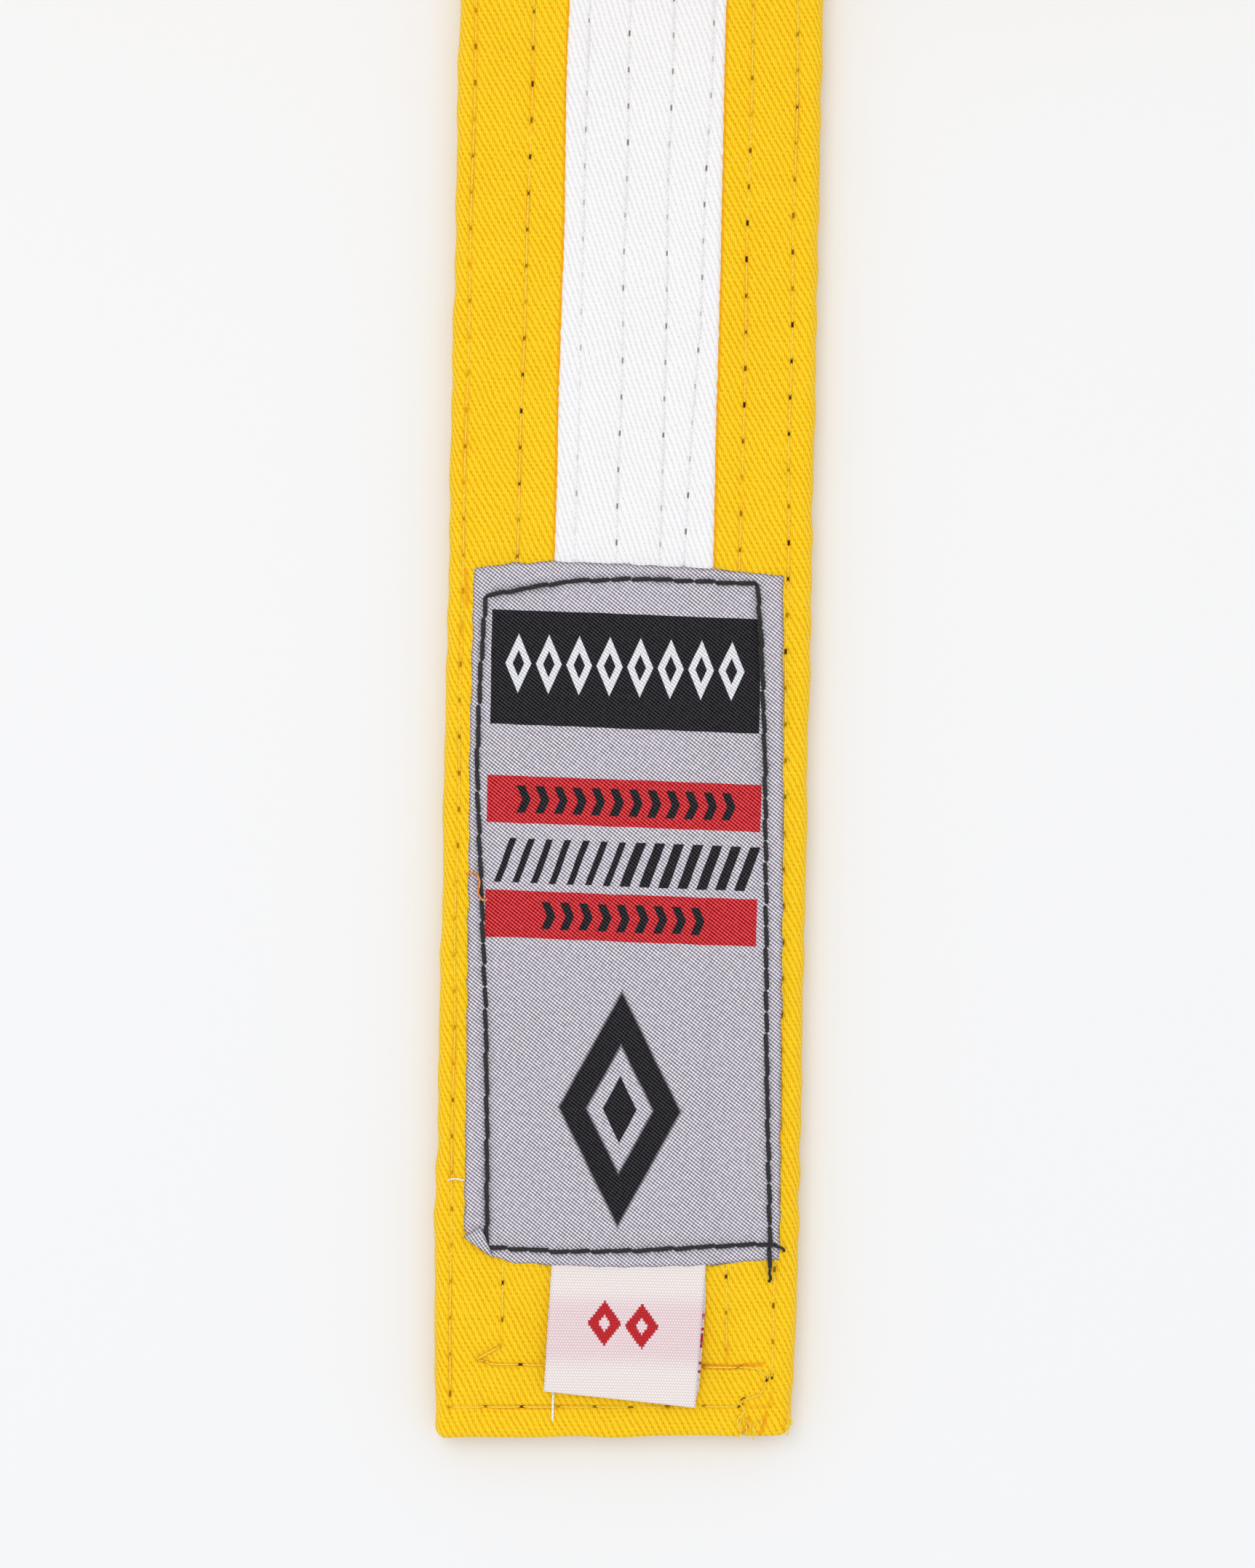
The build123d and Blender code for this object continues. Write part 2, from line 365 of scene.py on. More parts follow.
def stitch_paths(us, vs, level, sign=1, lift=0.05, plunge=0.5):
    """Lockstitches along a line: each rises from one needle hole, lies on the cloth, dives into the next."""
    run = distance_along(us, vs)
    holes = np.arange(math.floor(run[-1] / PITCH) + 1) * PITCH
    h = level + sign * (lift * STITCH_ARCH - plunge * STITCH_DIVE)
    paths = []
    for hole, next_hole in zip(holes[:-1], holes[1:]):
        at = hole + (next_hole - hole) * STITCH_T
        paths.append(to_space(np.interp(at, run, us), np.interp(at, run, vs), h))
    return paths


def row_stitches(rows, phases, starts, stop, level, sign, **how):
    """Stitches of several long rows, in step with the dimples of the cloth."""
    paths = []
    for row, phase, start in zip(rows, phases, starts):
        first = math.ceil(start / PITCH + phase) - phase
        holes = np.arange(first * PITCH, stop, PITCH)
        u = np.arange(holes[0], holes[-1] + 0.01, 0.5)
        paths += stitch_paths(u, row(u), level, sign, **how)
    return paths


# ---- materials ----
def linear(r, g, b):
    """A display colour, 0 to 255, as a linear one."""
    def one(c):
        c /= 255
        return c / 12.92 if c <= 0.04045 else ((c + 0.055) / 1.055) ** 2.4
    return one(r), one(g), one(b), 1.0


class Wire:
    """An output of a node. Arithmetic on wires adds Math nodes, and | takes the larger of two."""

    def __init__(self, shader, socket):
        self.shader = shader
        self.socket = socket

    def __add__(self, other):
        return self.shader.math("ADD", self, other)

    def __sub__(self, other):
        return self.shader.math("SUBTRACT", self, other)

    def __rsub__(self, other):
        return self.shader.math("SUBTRACT", other, self)

    def __mul__(self, other):
        return self.shader.math("MULTIPLY", self, other)

    def __or__(self, other):
        return self.shader.math("MAXIMUM", self, other)

    def __abs__(self):
        return self.shader.math("ABSOLUTE", self)


class Shader:
    """A Principled material, and short names for the nodes that feed it."""

    def __init__(self, name, roughness, specular=0.25, sheen=0.0, sheen_roughness=0.5):
        self.material = bpy.data.materials.new(name)
        self.material.use_nodes = True
        self.tree = self.material.node_tree
        self.surface = self.tree.nodes["Principled BSDF"].inputs
        self.surface["Roughness"].default_value = roughness
        self.surface["Specular IOR Level"].default_value = specular
        self.surface["Sheen Weight"].default_value = sheen
        self.surface["Sheen Roughness"].default_value = sheen_roughness

    def feed(self, socket, value):
        if isinstance(value, Wire):
            self.tree.links.new(value.socket, socket)
        else:
            socket.default_value = value

    def node(self, kind, inputs, output=0, **settings):
        """A wire from one output of a new node. inputs gives its sockets' values, by name or number."""
        node = self.tree.nodes.new(f"ShaderNode{kind}")
        for key, value in settings.items():
            setattr(node, key, value)
        for key, value in inputs.items():
            self.feed(node.inputs[key], value)
        return Wire(self, node.outputs[output])

    def math(self, operation, *values):
        return self.node("Math", dict(enumerate(values)), operation=operation)

    def ramp(self, value, low, high, to_low=0.0, to_high=1.0):
        """Eased from to_low to to_high as value goes from low to high."""
        values = (value, low, high, to_low, to_high)
        return self.node("MapRange", dict(enumerate(values)), interpolation_type="SMOOTHSTEP")

    def mix(self, factor, a, b):
        """Colour a where factor is 0, b where it is 1."""
        return self.node("Mix", {0: factor, 6: a, 7: b}, 2, data_type="RGBA")

    def attribute(self, name):
        """The three numbers of a mesh attribute."""
        vector = self.node("Attribute", {}, "Vector", attribute_name=name)
        split = self.node("SeparateXYZ", {0: vector}).socket.node
        return [Wire(self, socket) for socket in split.outputs]

    def noise(self, x, y, scale, detail=2.0, z=0.0):
        """Noise with a feature size of about 1 / scale, from -1 to 1."""
        place = self.node("CombineXYZ", {0: x, 1: y, 2: z})
        cloud = self.node("TexNoise", {"Vector": place, "Scale": scale, "Detail": detail}, "Fac")
        return self.math("MULTIPLY_ADD", cloud, 2.0, -1.0)

    def within(self, value, centre, half, soft=0.06):
        """1 where value is within half of centre."""
        return self.ramp(abs(value - centre), half - soft, half + soft, 1.0, 0.0)

    def lozenge(self, x, y, half_x, half_y, hole, rim, soft):
        """1 in a diamond about (0, 0), but for a smaller one in its middle, a share hole of its size."""
        size = abs(x) * (1 / half_x) + abs(y) * (1 / half_y)
        solid = self.ramp(size, rim - soft, rim + soft, 1.0, 0.0)
        return solid * self.ramp(size, hole - soft, hole + soft) if hole else solid

    def colour(self, value):
        self.feed(self.surface["Base Color"], value)

    def bump(self, height, millimetres):
        self.feed(self.surface["Normal"], self.node("Bump", {"Distance": millimetres * MM, "Height": height}))


def ribs(v, u, angle, pitch):
    """A count of lines that run down to the right at an angle, in degrees, below the belt's width."""
    slope = math.radians(angle)
    return v * (math.sin(slope) / pitch) + u * (math.cos(slope) / pitch)


HOLE_LENGTH = 0.46          # half the length of a needle hole, with its soft ends


def needle_holes(s, reach):
    """How strong the painted shade in the needle holes of the nearest row is, and how near that row is."""
    distance, phase, dark = s.attribute("seam")
    hole = s.math("ROUND", phase)
    from_hole = abs(phase - hole) * PITCH
    vary = (s.noise(hole, dark * 37.0, 3.7, 0.0) * 1.2 + 0.85) * dark
    across = s.ramp(distance, reach * 0.35, reach, 1.0, 0.0)
    lengthways = s.ramp(from_hole, HOLE_LENGTH * 0.45, HOLE_LENGTH, 1.0, 0.0)
    return across * lengthways * vary, distance


def twill_material(name, base, painted_shade, painted_highlight, yarn, rib_angle, rib_pitch, hole_shade, seam_shade_colour, relief,
                   contrast, stepped, hole_reach):
    """Twill: yarns of one width lean a little from the belt's length. Each floats over the crossing yarns
    and dips under them where a rib line crosses it. The ribs run down to the right at rib_angle, and
    stepped says how far each yarn's crossing is squared off."""
    s = Shader(name, roughness=0.86, specular=0.15, sheen=0.1, sheen_roughness=0.45)
    v, u, from_line = s.attribute("cloth")
    v = v + s.noise(v, u, 0.16, 1.0) * 0.3
    u = u + s.noise(u, v, 0.11, 1.0) * 0.45
    leaning = u * YARN_LEAN
    place = (v + leaning) * (1 / yarn)
    index = s.math("FLOOR", place)
    side = (place - index) * 2.0 - 1.0
    crown = 1.0 - side * side
    yarn_v = (index * yarn + yarn / 2 - leaning) * stepped + v * (1 - stepped)
    jitter = s.noise(index, u * 0.7, 1.0, 1.0) * 0.2
    over = s.math("SINE", s.math("FRACT", ribs(yarn_v, u, rib_angle, rib_pitch) + jitter) * math.pi)
    picks = s.math("COSINE", u * (2 * math.pi / PICK_PITCH))
    height = (crown * 0.45 + 0.55) * (over * 0.85 + 0.15) + picks * 0.06
    grain = s.noise(index, u * 1.6, 1.0, 1.0)
    patch = s.noise(v, u, 0.12, 3.0)
    fuzz = s.noise(v, u, 2.6, 3.0)
    tone = height + grain * 0.18 + patch * 0.08 + fuzz * 0.12
    # painted shade in the weave's recesses and painted highlight on its crowns, mixed with random grain and
    # patches
    colour = s.mix(s.ramp(tone, 0.05, 0.6, contrast, 0.0), base, painted_shade)
    colour = s.mix(s.ramp(tone, 0.7, 1.15, 0.0, contrast), colour, painted_highlight)
    holes, distance = needle_holes(s, hole_reach)
    # painted shade beside each row of stitching, stronger or weaker at random, and painted shadow along the
    # stripe tape's edges and in the creases
    seam_shade = s.ramp(distance, 0.12, 0.42, 1.0, 0.0) * (s.noise(v, u, 0.09, 1.0) * 0.7 + 0.14)
    colour = s.mix(seam_shade | s.ramp(from_line, 0.1, 0.4, 0.55, 0.0), colour, seam_shade_colour)
    # painted shade in the needle holes
    s.colour(s.mix(holes, colour, hole_shade))
    s.bump(height + fuzz * 0.25, relief)
    return s.material


def thread_material(name, base, painted_shade, roughness=0.7, twist=0.55):
    """Plied sewing thread: the plies show as slanting stripes round it, with painted shade in the grooves
    between them.
    """
    s = Shader(name, roughness=roughness, specular=0.3, sheen=0.2)
    turn, along, _ = s.attribute("cloth")
    crown = s.math("SINE", s.math("FRACT", turn * 2.0 + along * (1 / twist)) * math.pi)
    s.colour(s.mix(s.ramp(crown + s.noise(along, turn, 1.3) * 0.3, 0.0, 0.8), painted_shade, base))
    s.bump(crown, 0.05)
    return s.material


YARN_LEAN, PICK_PITCH = 0.1, 0.43           # of both twills

cover_cloth = twill_material("cover_twill", linear(253, 207, 22), painted_shade=linear(226, 152, 0),
                             painted_highlight=linear(255, 226, 62), yarn=0.24, rib_angle=61, rib_pitch=0.62,
                             hole_shade=linear(58, 34, 4), seam_shade_colour=linear(236, 146, 6), relief=0.08,
                             contrast=0.9, stepped=0.4, hole_reach=0.2)
stripe_cloth = twill_material("stripe_twill", linear(247, 247, 249), painted_shade=linear(212, 212, 218),
                              painted_highlight=linear(254, 254, 255), yarn=0.19, rib_angle=69.5, rib_pitch=0.58,
                              hole_shade=linear(128, 112, 94), seam_shade_colour=linear(232, 230, 230),
                              relief=0.045, contrast=0.75, stepped=0.25, hole_reach=0.15)
cover_thread = thread_material("cover_thread", linear(255, 222, 62), linear(252, 206, 34))
stripe_thread = thread_material("stripe_thread", linear(250, 250, 252), linear(232, 232, 238))
black_thread = thread_material("label_thread", linear(26, 25, 30), linear(6, 6, 8), roughness=0.45,
                               twist=0.9)


def canvas_material():
    """Undyed plain-woven canvas, for the plies inside."""
    s = Shader("core_canvas", roughness=0.9, specular=0.1)
    v, u, _ = s.attribute("cloth")
    warp, weft = (abs(s.math("SINE", place * (math.pi / 0.6))) for place in (v, u))
    # painted shade in the gaps between the yarn crossings, lighter on their crowns
    s.colour(s.mix(warp * weft, linear(196, 184, 158), linear(232, 224, 205)))
    s.bump(warp * weft, 0.15)
    return s.material


core_canvas = canvas_material()


# ---- placement of the two lengths: each piece crosses at most one of the two bends ----
def bend_front(piece):
    """Bakes the piece's placement into its mesh; it does not turn the front length at the end bend."""
    (END_Y + END_BEND - BEND_REACH) * MM
    MID * MM
    (END_Y + END_BEND + BEND_REACH) * MM
    MID * MM
    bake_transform(piece)


def bend_rear(piece):
    """Bakes the piece's placement into its mesh; it does not turn the rear length at the strap bend."""
    (END_Y + STRAP_BEND + BEND_REACH) * MM
    MID * MM
    (END_Y + STRAP_BEND - BEND_REACH) * MM
    MID * MM
    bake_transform(piece)


# ---- the cover: twill wrapped round the core, its raw edges butted under the back stripe ----
COVER_STOPS = [-(HALF_WIDTH - EDGE_RUN), -18.2, -12.0, -8.0, 9.3, 12.3, 17.4, HALF_WIDTH - EDGE_RUN]
ARC_STEPS = 9
TAPE_SHOWS = 24.0           # nearer the end than this, the stripe tape is under the label
BUTT = 0.2                  # half the space between the cover's raw edges


def cover_profile(u, inset, fine, lining=0.0):
    """The cover's cross-section at each u: columns of v, of h and of the way they face, 1 for the front face
    and -1 for the back. They run from one butted edge round the left side, over the front and back to the
    other. inset closes the section up, as at the folded end."""
    left, right = half_width(u, -1, 50) - inset - lining, half_width(u, 1, 51) - inset - lining
    thick = (FRONT - MID) - inset - lining
    run = EDGE_RUN * np.clip(thick / (FRONT - MID), 0.05, 1)
    edges = -(left - run)[:, None], (right - run)[:, None]
    lines = [lambda u: -(left - run), *cover_rows[:2], stripe_left, stripe_right, *cover_rows[2:],
             lambda u: right - run]
    top_v = np.clip(between(lines, COVER_STOPS, u, *fine), *edges)
    turn = np.linspace(0, np.pi, 2 * ARC_STEPS + 1)[1:-1]
    back_share = spaced([0.0, 1.0], 0.05, 0.14, 0.4)
    middle = (stripe_left(u) + stripe_right(u)) / 2
    arc_v = run[:, None] * np.sin(turn)[None]
    arc_h = MID + thick[:, None] * np.cos(turn)[None]
    butt = 0.01 + BUTT * ease((u - 2) / 4) * ease((BELT_LENGTH - 2 - u) / 4)
    left_back = (middle - butt)[:, None] * (1 - back_share) + edges[0] * back_share
    right_back = (middle + butt)[:, None] * (1 - back_share) + edges[1] * back_share
    v = np.concatenate([left_back, edges[0] - arc_v[:, ::-1], top_v, edges[1] + arc_v,
                        right_back[:, ::-1]], axis=1)
    back_h = (MID - thick)[:, None] * np.ones(len(back_share))
    front_h = (MID + thick)[:, None] * np.ones(top_v.shape[1])
    h = np.concatenate([back_h, arc_h[:, ::-1], front_h, arc_h, back_h], axis=1)
    facing = np.clip((h - MID) / np.maximum(thick, 1e-6)[:, None], -1, 1)
    return v, h, facing


def wrapped_coordinate(v, h, facing):
    """Distance along the cross-section, so that the twill runs on round the edges: v on the front face."""
    steps = np.hypot(np.diff(v, axis=1, prepend=v[:, :1]), np.diff(h, axis=1, prepend=h[:, :1]))
    along = np.cumsum(steps, axis=1)
    centre = np.argmin(np.abs(v[0]) + 99 * (facing[0] < 0.5))
    return along - along[:, centre:centre + 1] + v[:, centre:centre + 1]


def cover_piece(name, u_rows, inset, starts, at_end, fine, step):
    """A length of the cover. at_end says that it holds the folded, cross-stitched end."""
    v, h, facing = cover_profile(u_rows, inset, fine)
    lining_v, lining_h, _ = cover_profile(u_rows, np.minimum(inset, 0.9), fine, lining=COVER_WALL * 0.9)
    u = np.repeat(u_rows[:, None], v.shape[1], 1)
    around = wrapped_coordinate(v, h, facing)
    distance, phase, dark = nearest_row(u, v, cover_rows, cover_phases, COVER_HOLES, starts)
    under_label = u < TAPE_SHOWS
    from_line = np.minimum(np.abs(v - stripe_left(u)), np.abs(v - stripe_right(u))) + 9 * under_label
    if at_end:
        distance, phase, dark = nearest_path(u, v, CROSS_ROWS, distance, phase, dark)
        from_line = nearest_path(u, v + 99 * (facing < 0.5), CREASES, from_line, phase, dark)[0]
    under_tape = (v > stripe_left(u) + 0.4) & (v < stripe_right(u) - 0.4) & (u > TAPE_SHOWS)
    quilt = -0.14 * bell(from_line, 0.3) * under_label
    quilt = quilt + np.where(under_tape, -0.08, seam_relief(distance, phase) + pulled(distance, phase))
    slack = bumps(u, v, 61, 9, 0.035) + bumps(u, v, 62, 26, 0.05)
    slack = slack + bumps(u * 1.6, v, 64, 6, 0.055) * bell(u, 11)
    labelled = ease((u - 20) / 2) * ease((95 - u) / 2) * ease((17 - np.abs(v)) / 1.5) * (facing > 0)
    raised = (quilt + slack) * (1 - labelled) - 0.12 * labelled
    closed = 1 - np.clip(inset / RIM, 0, 1)[:, None]
    h = h + np.sign(facing) * ease((np.abs(facing) - 0.75) / 0.25) * closed * raised
    v = v + np.sign(v) * (1 - np.abs(facing)) * closed * wobble(u, 63, 7, 0.06)
    face = to_space(skewed(u, v) if at_end else u, v, h)
    lining = to_space(skewed(u, lining_v) if at_end else u, lining_v, lining_h)
    coords = np.stack([around, u, from_line], axis=-1)
    seam = np.stack([distance, phase, dark], axis=-1)
    made = cloth(name, face, lining, step, cover_cloth, cloth=coords, seam=seam)
    return made


rim_angles = np.linspace(np.pi, 0, 11)
rim_u = RIM - RIM * np.sin(rim_angles)
rim_inset = RIM * (1 - np.cos(rim_angles))
near_cross_row = np.array([-0.35, -0.15, 0, 0.15, 0.35])
body_u = np.unique(np.concatenate([np.arange(RIM + 0.3, SPLICE - 0.2, 0.36), [SPLICE],
                                   CROSS_NEAR + near_cross_row, CROSS_FAR + near_cross_row]))
front_u = np.concatenate([[5.0], rim_u, body_u])
front_inset = np.concatenate([[2 * RIM], rim_inset, 0 * body_u])
COVER_STARTS = [CROSS_NEAR, 9.9, CROSS_FAR, CROSS_NEAR]

cover = cover_piece("cover_front_length", front_u, front_inset, COVER_STARTS, True, (0.13, 0.55, 1.5), (8, 6))
bend_front(cover)
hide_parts("end_cover", "strap_cover")


def rear_rows(start, near, turn, stop):
    """Places along the rear length: near apart where it shows, then a fixed turn apart further into the roll.
    """
    places = [start]
    while places[-1] < stop:
        u = places[-1]
        radius = np.interp(u, ARC_STARTS[:-1], ARC_RADII)
        places.append(u + (near if u < ROLL_AT + 400 else max(0.7, min(3.0, radius * turn))))
    return np.array(places[:-1])


rear_u = rear_rows(SPLICE, 1.0, 0.06, BELT_LENGTH - 1)
rear_and_rim_u = np.concatenate([rear_u, BELT_LENGTH - rim_u[::-1]])
rear_inset = np.concatenate([0 * rear_u, rim_inset[::-1]])
cover = cover_piece("cover_rolled_length", rear_and_rim_u, rear_inset, None, False, (0.3, 1.2, 2.0), (4, 6))
bend_rear(cover)
(BELT_LENGTH - SPLICE) * MM
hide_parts("rolled_cover", "lead_cover")


# ---- core plies ----
PLY_COLUMNS = 5
PLY_SLACK = 0.02            # each ply stands clear of its neighbours by this much


def ply_piece(name, u_rows, low, high):
    """A flat ply: a plain closed sheet that follows the belt, between two corners of its CAD box."""
    v = np.repeat(np.linspace(-high[0], high[0], PLY_COLUMNS)[None], len(u_rows), 0)
    u = np.repeat(u_rows[:, None], PLY_COLUMNS, 1)
    face, lining = to_space(u, v, high[2] - PLY_SLACK), to_space(u, v, low[2] + PLY_SLACK)
    coords = np.stack([v, u, 0 * u], axis=-1)
    return cloth(name, face, lining, (1, PLY_COLUMNS - 1), core_canvas, cloth=coords)


for ply in ("back_ply", "middle_ply", "front_ply"):
    low, high = box_mm(f"strap_{ply}")
    made = ply_piece(f"core_{ply}_front_length", np.linspace(2.0, SPLICE, 83), low, high)
    bend_front(made)
    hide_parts(f"end_{ply}", f"strap_{ply}")
    made = ply_piece(f"core_{ply}_rolled_length", rear_rows(SPLICE, 2.5, 0.09, BELT_LENGTH - 2), low, high)
    bend_rear(made)
    (BELT_LENGTH - SPLICE - 2) * MM
    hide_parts(f"rolled_{ply}", f"lead_{ply}")


# ---- stripe tapes ----
STRIPE_STOPS = [-8.0, -5.8, -1.2, 3.5, 7.5, 9.3]


def stripe_piece(name, u_rows, front, fine, step):
    """A tape sewn flat on one face of the cover, its long edges rounded down to the cover."""
    v = between([stripe_left, *stripe_rows, stripe_right], STRIPE_STOPS, u_rows, *fine)
    u = np.repeat(u_rows[:, None], v.shape[1], 1)
    distance, phase, dark = nearest_row(u, v, stripe_rows, stripe_phases, STRIPE_HOLES)
    inner, outer, sign = (FRONT, TOP, 1) if front else (BACK, 0.0, -1)
    from_edge = np.minimum(v - v[:, :1], v[:, -1:] - v)
    rounded = STRIPE_WALL * (1 - np.clip(from_edge / 0.45, 0, 1)) ** 2
    relief = seam_relief(distance, phase, puff=0.07, groove=0.02, dimple=0.18) + pulled(distance, phase, 0.03)
    relief = relief + bumps(u, v, 71, 8, 0.02) + bumps(u, v, 62, 26, 0.04)
    if not front:
        relief = np.minimum(relief, 0.0)
    scallop = wobble(u_rows, 72, 2.2, 0.04)[:, None]
    v = v + scallop * (bell(v - v[:, :1], 0.3) - bell(v[:, -1:] - v, 0.3))
    h = outer + sign * (relief * ease(from_edge / 0.8) - rounded)
    coords = np.stack([v, u, 9 + 0 * u], axis=-1)
    seam = np.stack([distance, phase, dark], axis=-1)
    tuck = 0.12 if front else 0.05
    face, lining = to_space(u, v, h), to_space(u, v, inner - sign * tuck)
    if not front:
        face, lining, coords, seam = (a[:, ::-1] for a in (face, lining, coords, seam))
    made = cloth(name, face, lining, step, stripe_cloth, cloth=coords, seam=seam)
    return made


STRIPE_FROM = 22.0
for face_name, is_front, first in (("front", True, STRIPE_FROM), ("back", False, 1.2)):
    tape_u = np.linspace(first, SPLICE, int((SPLICE - first) / 0.4))
    tape = stripe_piece(f"{face_name}_stripe_front_length", tape_u, is_front, (0.13, 0.5, 1.5), (8, 6))
    bend_front(tape)
    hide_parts(f"end_{face_name}_stripe", f"strap_{face_name}_stripe")
    tape = stripe_piece(f"{face_name}_stripe_rolled_length", rear_u, is_front, (0.3, 0.9, 2.0), (4, 6))
    bend_rear(tape)
    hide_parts(f"rolled_{face_name}_stripe", f"lead_{face_name}_stripe")


# ---- stitching through the belt ----
OUTER_TURN = ROLL_AT + 2 * np.pi * ROLL_RADIUS      # stitches deeper in the roll are not seen
FRONT_THREAD, BACK_THREAD = FRONT - 0.12, BACK + 0.12
SIDES = [  # face, height of the thread on the cover and on the tape, first tape stitch, last rolled one
    (1, FRONT_THREAD, TOP - 0.08, STRIPE_FROM, ROLL_AT + 40),
    (-1, BACK_THREAD, 0.12, 3.0, OUTER_TURN),
]
threads = {}
for sign, cover_level, stripe_level, tape_from, last in SIDES:
    for length, cover_starts, tape_start, stop in (("front", COVER_STARTS, tape_from, SPLICE),
                                                   ("rolled", [SPLICE] * 4, SPLICE, last)):
        threads.setdefault(("cover", length), []).extend(
            row_stitches(cover_rows, cover_phases, cover_starts, stop, cover_level, sign))
        threads.setdefault(("stripe", length), []).extend(
            row_stitches(stripe_rows, stripe_phases, [tape_start] * 4, stop, stripe_level, sign, plunge=0.4))

for bend, length, layer, thread, nodes in (
        (bend_front, "front", "cover", cover_thread, ["end_cover_stitching", "strap_cover_stitching"]),
        (bend_front, "front", "stripe", stripe_thread,
         ["end_front_stripe_stitching", "end_back_stripe_stitching", "strap_stripe_stitching"]),
        (bend_rear, "rolled", "cover", cover_thread, ["rolled_cover_stitching", "lead_cover_stitching"]),
        (bend_rear, "rolled", "stripe", stripe_thread, ["rolled_stripe_stitching", "lead_stripe_stitching"])):
    made = tubes(f"{layer}_stitching_{length}_length", threads[layer, length], THREAD, 6, thread)
    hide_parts(*nodes)
    bend(made)

cross_paths = []
for path in CROSS_ROWS:
    us, vs = (np.array(a) for a in zip(*path))
    for sign, level in ((1, FRONT_THREAD), (-1, BACK_THREAD)):
        cross_paths += stitch_paths(skewed(us, vs), vs, level, sign, lift=0.12)
cross = tubes("end_cross_stitches", cross_paths, THREAD, 6, cover_thread)
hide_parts("end_cross_stitching")
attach(cross, "belt_end")


# ---- label ----
LABEL_TOP = [(95.4, -17.15), (95.9, -13.5), (96.25, -9.0), (96.1, 0.0), (95.75, 9.0), (95.2, 16.9)]
LABEL_BOTTOM = [(20.75, -15.4), (19.55, -13.4), (19.0, -11.0), (18.75, 0.0), (19.1, 9.0), (19.95, 18.0)]
LABEL_LEFT = [(20.75, -15.4), (21.7, -16.75), (25.8, -16.75), (51, -16.95), (75, -17.2), (95.4, -17.15)]
LABEL_RIGHT = [(19.95, 18.0), (46.5, 17.7), (70, 17.4), (95.2, 16.9)]
FRAME_LINES = [
    [(92.3, -15.75), (93.4, -10.5), (94.1, -6.3), (94.5, 1.35), (94.3, 9.5), (94.2, 14.05)],
    [(94.2, 14.05), (87.8, 14.65), (74.6, 15.3), (58, 15.75), (42.5, 16.1), (23.3, 16.85), (19.0, 16.95)],
    [(92.3, -15.75), (83.0, -16.2), (73.2, -16.35), (60, -15.6), (46.7, -14.85), (34, -14.45), (20.7, -14.2)],
    [(20.7, -14.2), (20.45, -6), (20.7, 1.9), (21.3, 10), (21.7, 16.9), (21.5, 17.7)],
]
LABEL_CLOTH, HEM = 0.3, 0.22


def along_line(points, t):
    """A smooth curve through (u, v) points, at shares t of its length."""
    points = np.array(points, float)
    run = distance_along(*points.T)
    fine = np.linspace(0, run[-1], 400)
    line = np.stack([np.interp(fine, run, points[:, k]) for k in (0, 1)], axis=1)
    for _ in range(60):
        line[1:-1] = (line[:-2] + line[1:-1] * 2 + line[2:]) / 4
    return np.stack([np.interp(t * run[-1], fine, line[:, k]) for k in (0, 1)], axis=1)


def under_label(u, v):
    """What the label lies on: the cover, stepping up over the stripe tape and the tab's ends."""
    step = ease((v + 9.3) / 1.5) * ease((10.4 - v) / 1.5)
    tab_step = ease((v + 8.9) / 1.5) * ease((11.6 - v) / 1.3) * ease((26.5 - u) / 2)
    return FRONT + STRIPE_WALL * np.maximum(step * ease((u - 20) / 1.5), tab_step)


def frame_distance(u, v):
    """Distance to the nearest side of the label's stitched frame."""
    none = np.zeros(v.shape)
    smooth = [along_line(line, np.linspace(0, 1, 24)).tolist() for line in FRAME_LINES]
    return nearest_path(u, v, smooth, none + 99, none, none)[0]


def label_face(u, v, from_edge, distance):
    """Height of the label's face: hemmed and rounded at its edges, drawn down along its stitching."""
    hem = HEM * ease(from_edge / 0.5) * (1 - ease((from_edge - 2.2) / 0.6))
    drawn = 0.3 * bell(distance, 0.55)
    crease = bumps(u, v, 81, 7, 0.035) + bumps(u, v * 0.5, 82, 19, 0.07)
    crease = crease + bumps(u, v, 85, 4, 0.06) * bell(from_edge, 2.5)
    corner = 0.25 * np.exp(-np.hypot(u - 95, v + 15.5) / 1.6) * (1 + np.sin(3.2 * v + 1.5 * u))
    rounded = np.sqrt(np.clip(from_edge / 0.4, 0, 1))
    return under_label(u, v) + 0.05 + rounded * (LABEL_CLOTH + hem - drawn + crease + corner)


def turned_corner():
    """The label's near left corner, turned up on to its face."""
    t = np.linspace(0, 0.93, 14)[:, None, None]
    along = np.linspace(0, 1, 22)[None, :, None]
    left, right, tip = (np.array(p) for p in ((21.8, -16.85), (19.5, -13.4), (23.1, -14.9)))
    flat = (left * (1 - along) + right * along) * (1 - t) + tip * t
    u, v, t, along = flat[..., 0], flat[..., 1], t[..., 0], along[..., 0]
    h = FRONT + 0.35 + 0.6 * np.sin(np.pi * np.clip(t * 1.6, 0, 0.5)) + 0.2 * np.sin(np.pi * along) - 0.05 * t
    from_edge = np.minimum(np.minimum(along, 1 - along) * (1 - t), t + 0.02) * 3.5
    coords = np.stack([u, v, from_edge], axis=-1)
    lining = to_space(u, v, np.minimum(h - 0.12, FRONT + 0.5))
    return cloth_mesh(to_space(u, v, h), lining, (4, 4), cloth=coords)


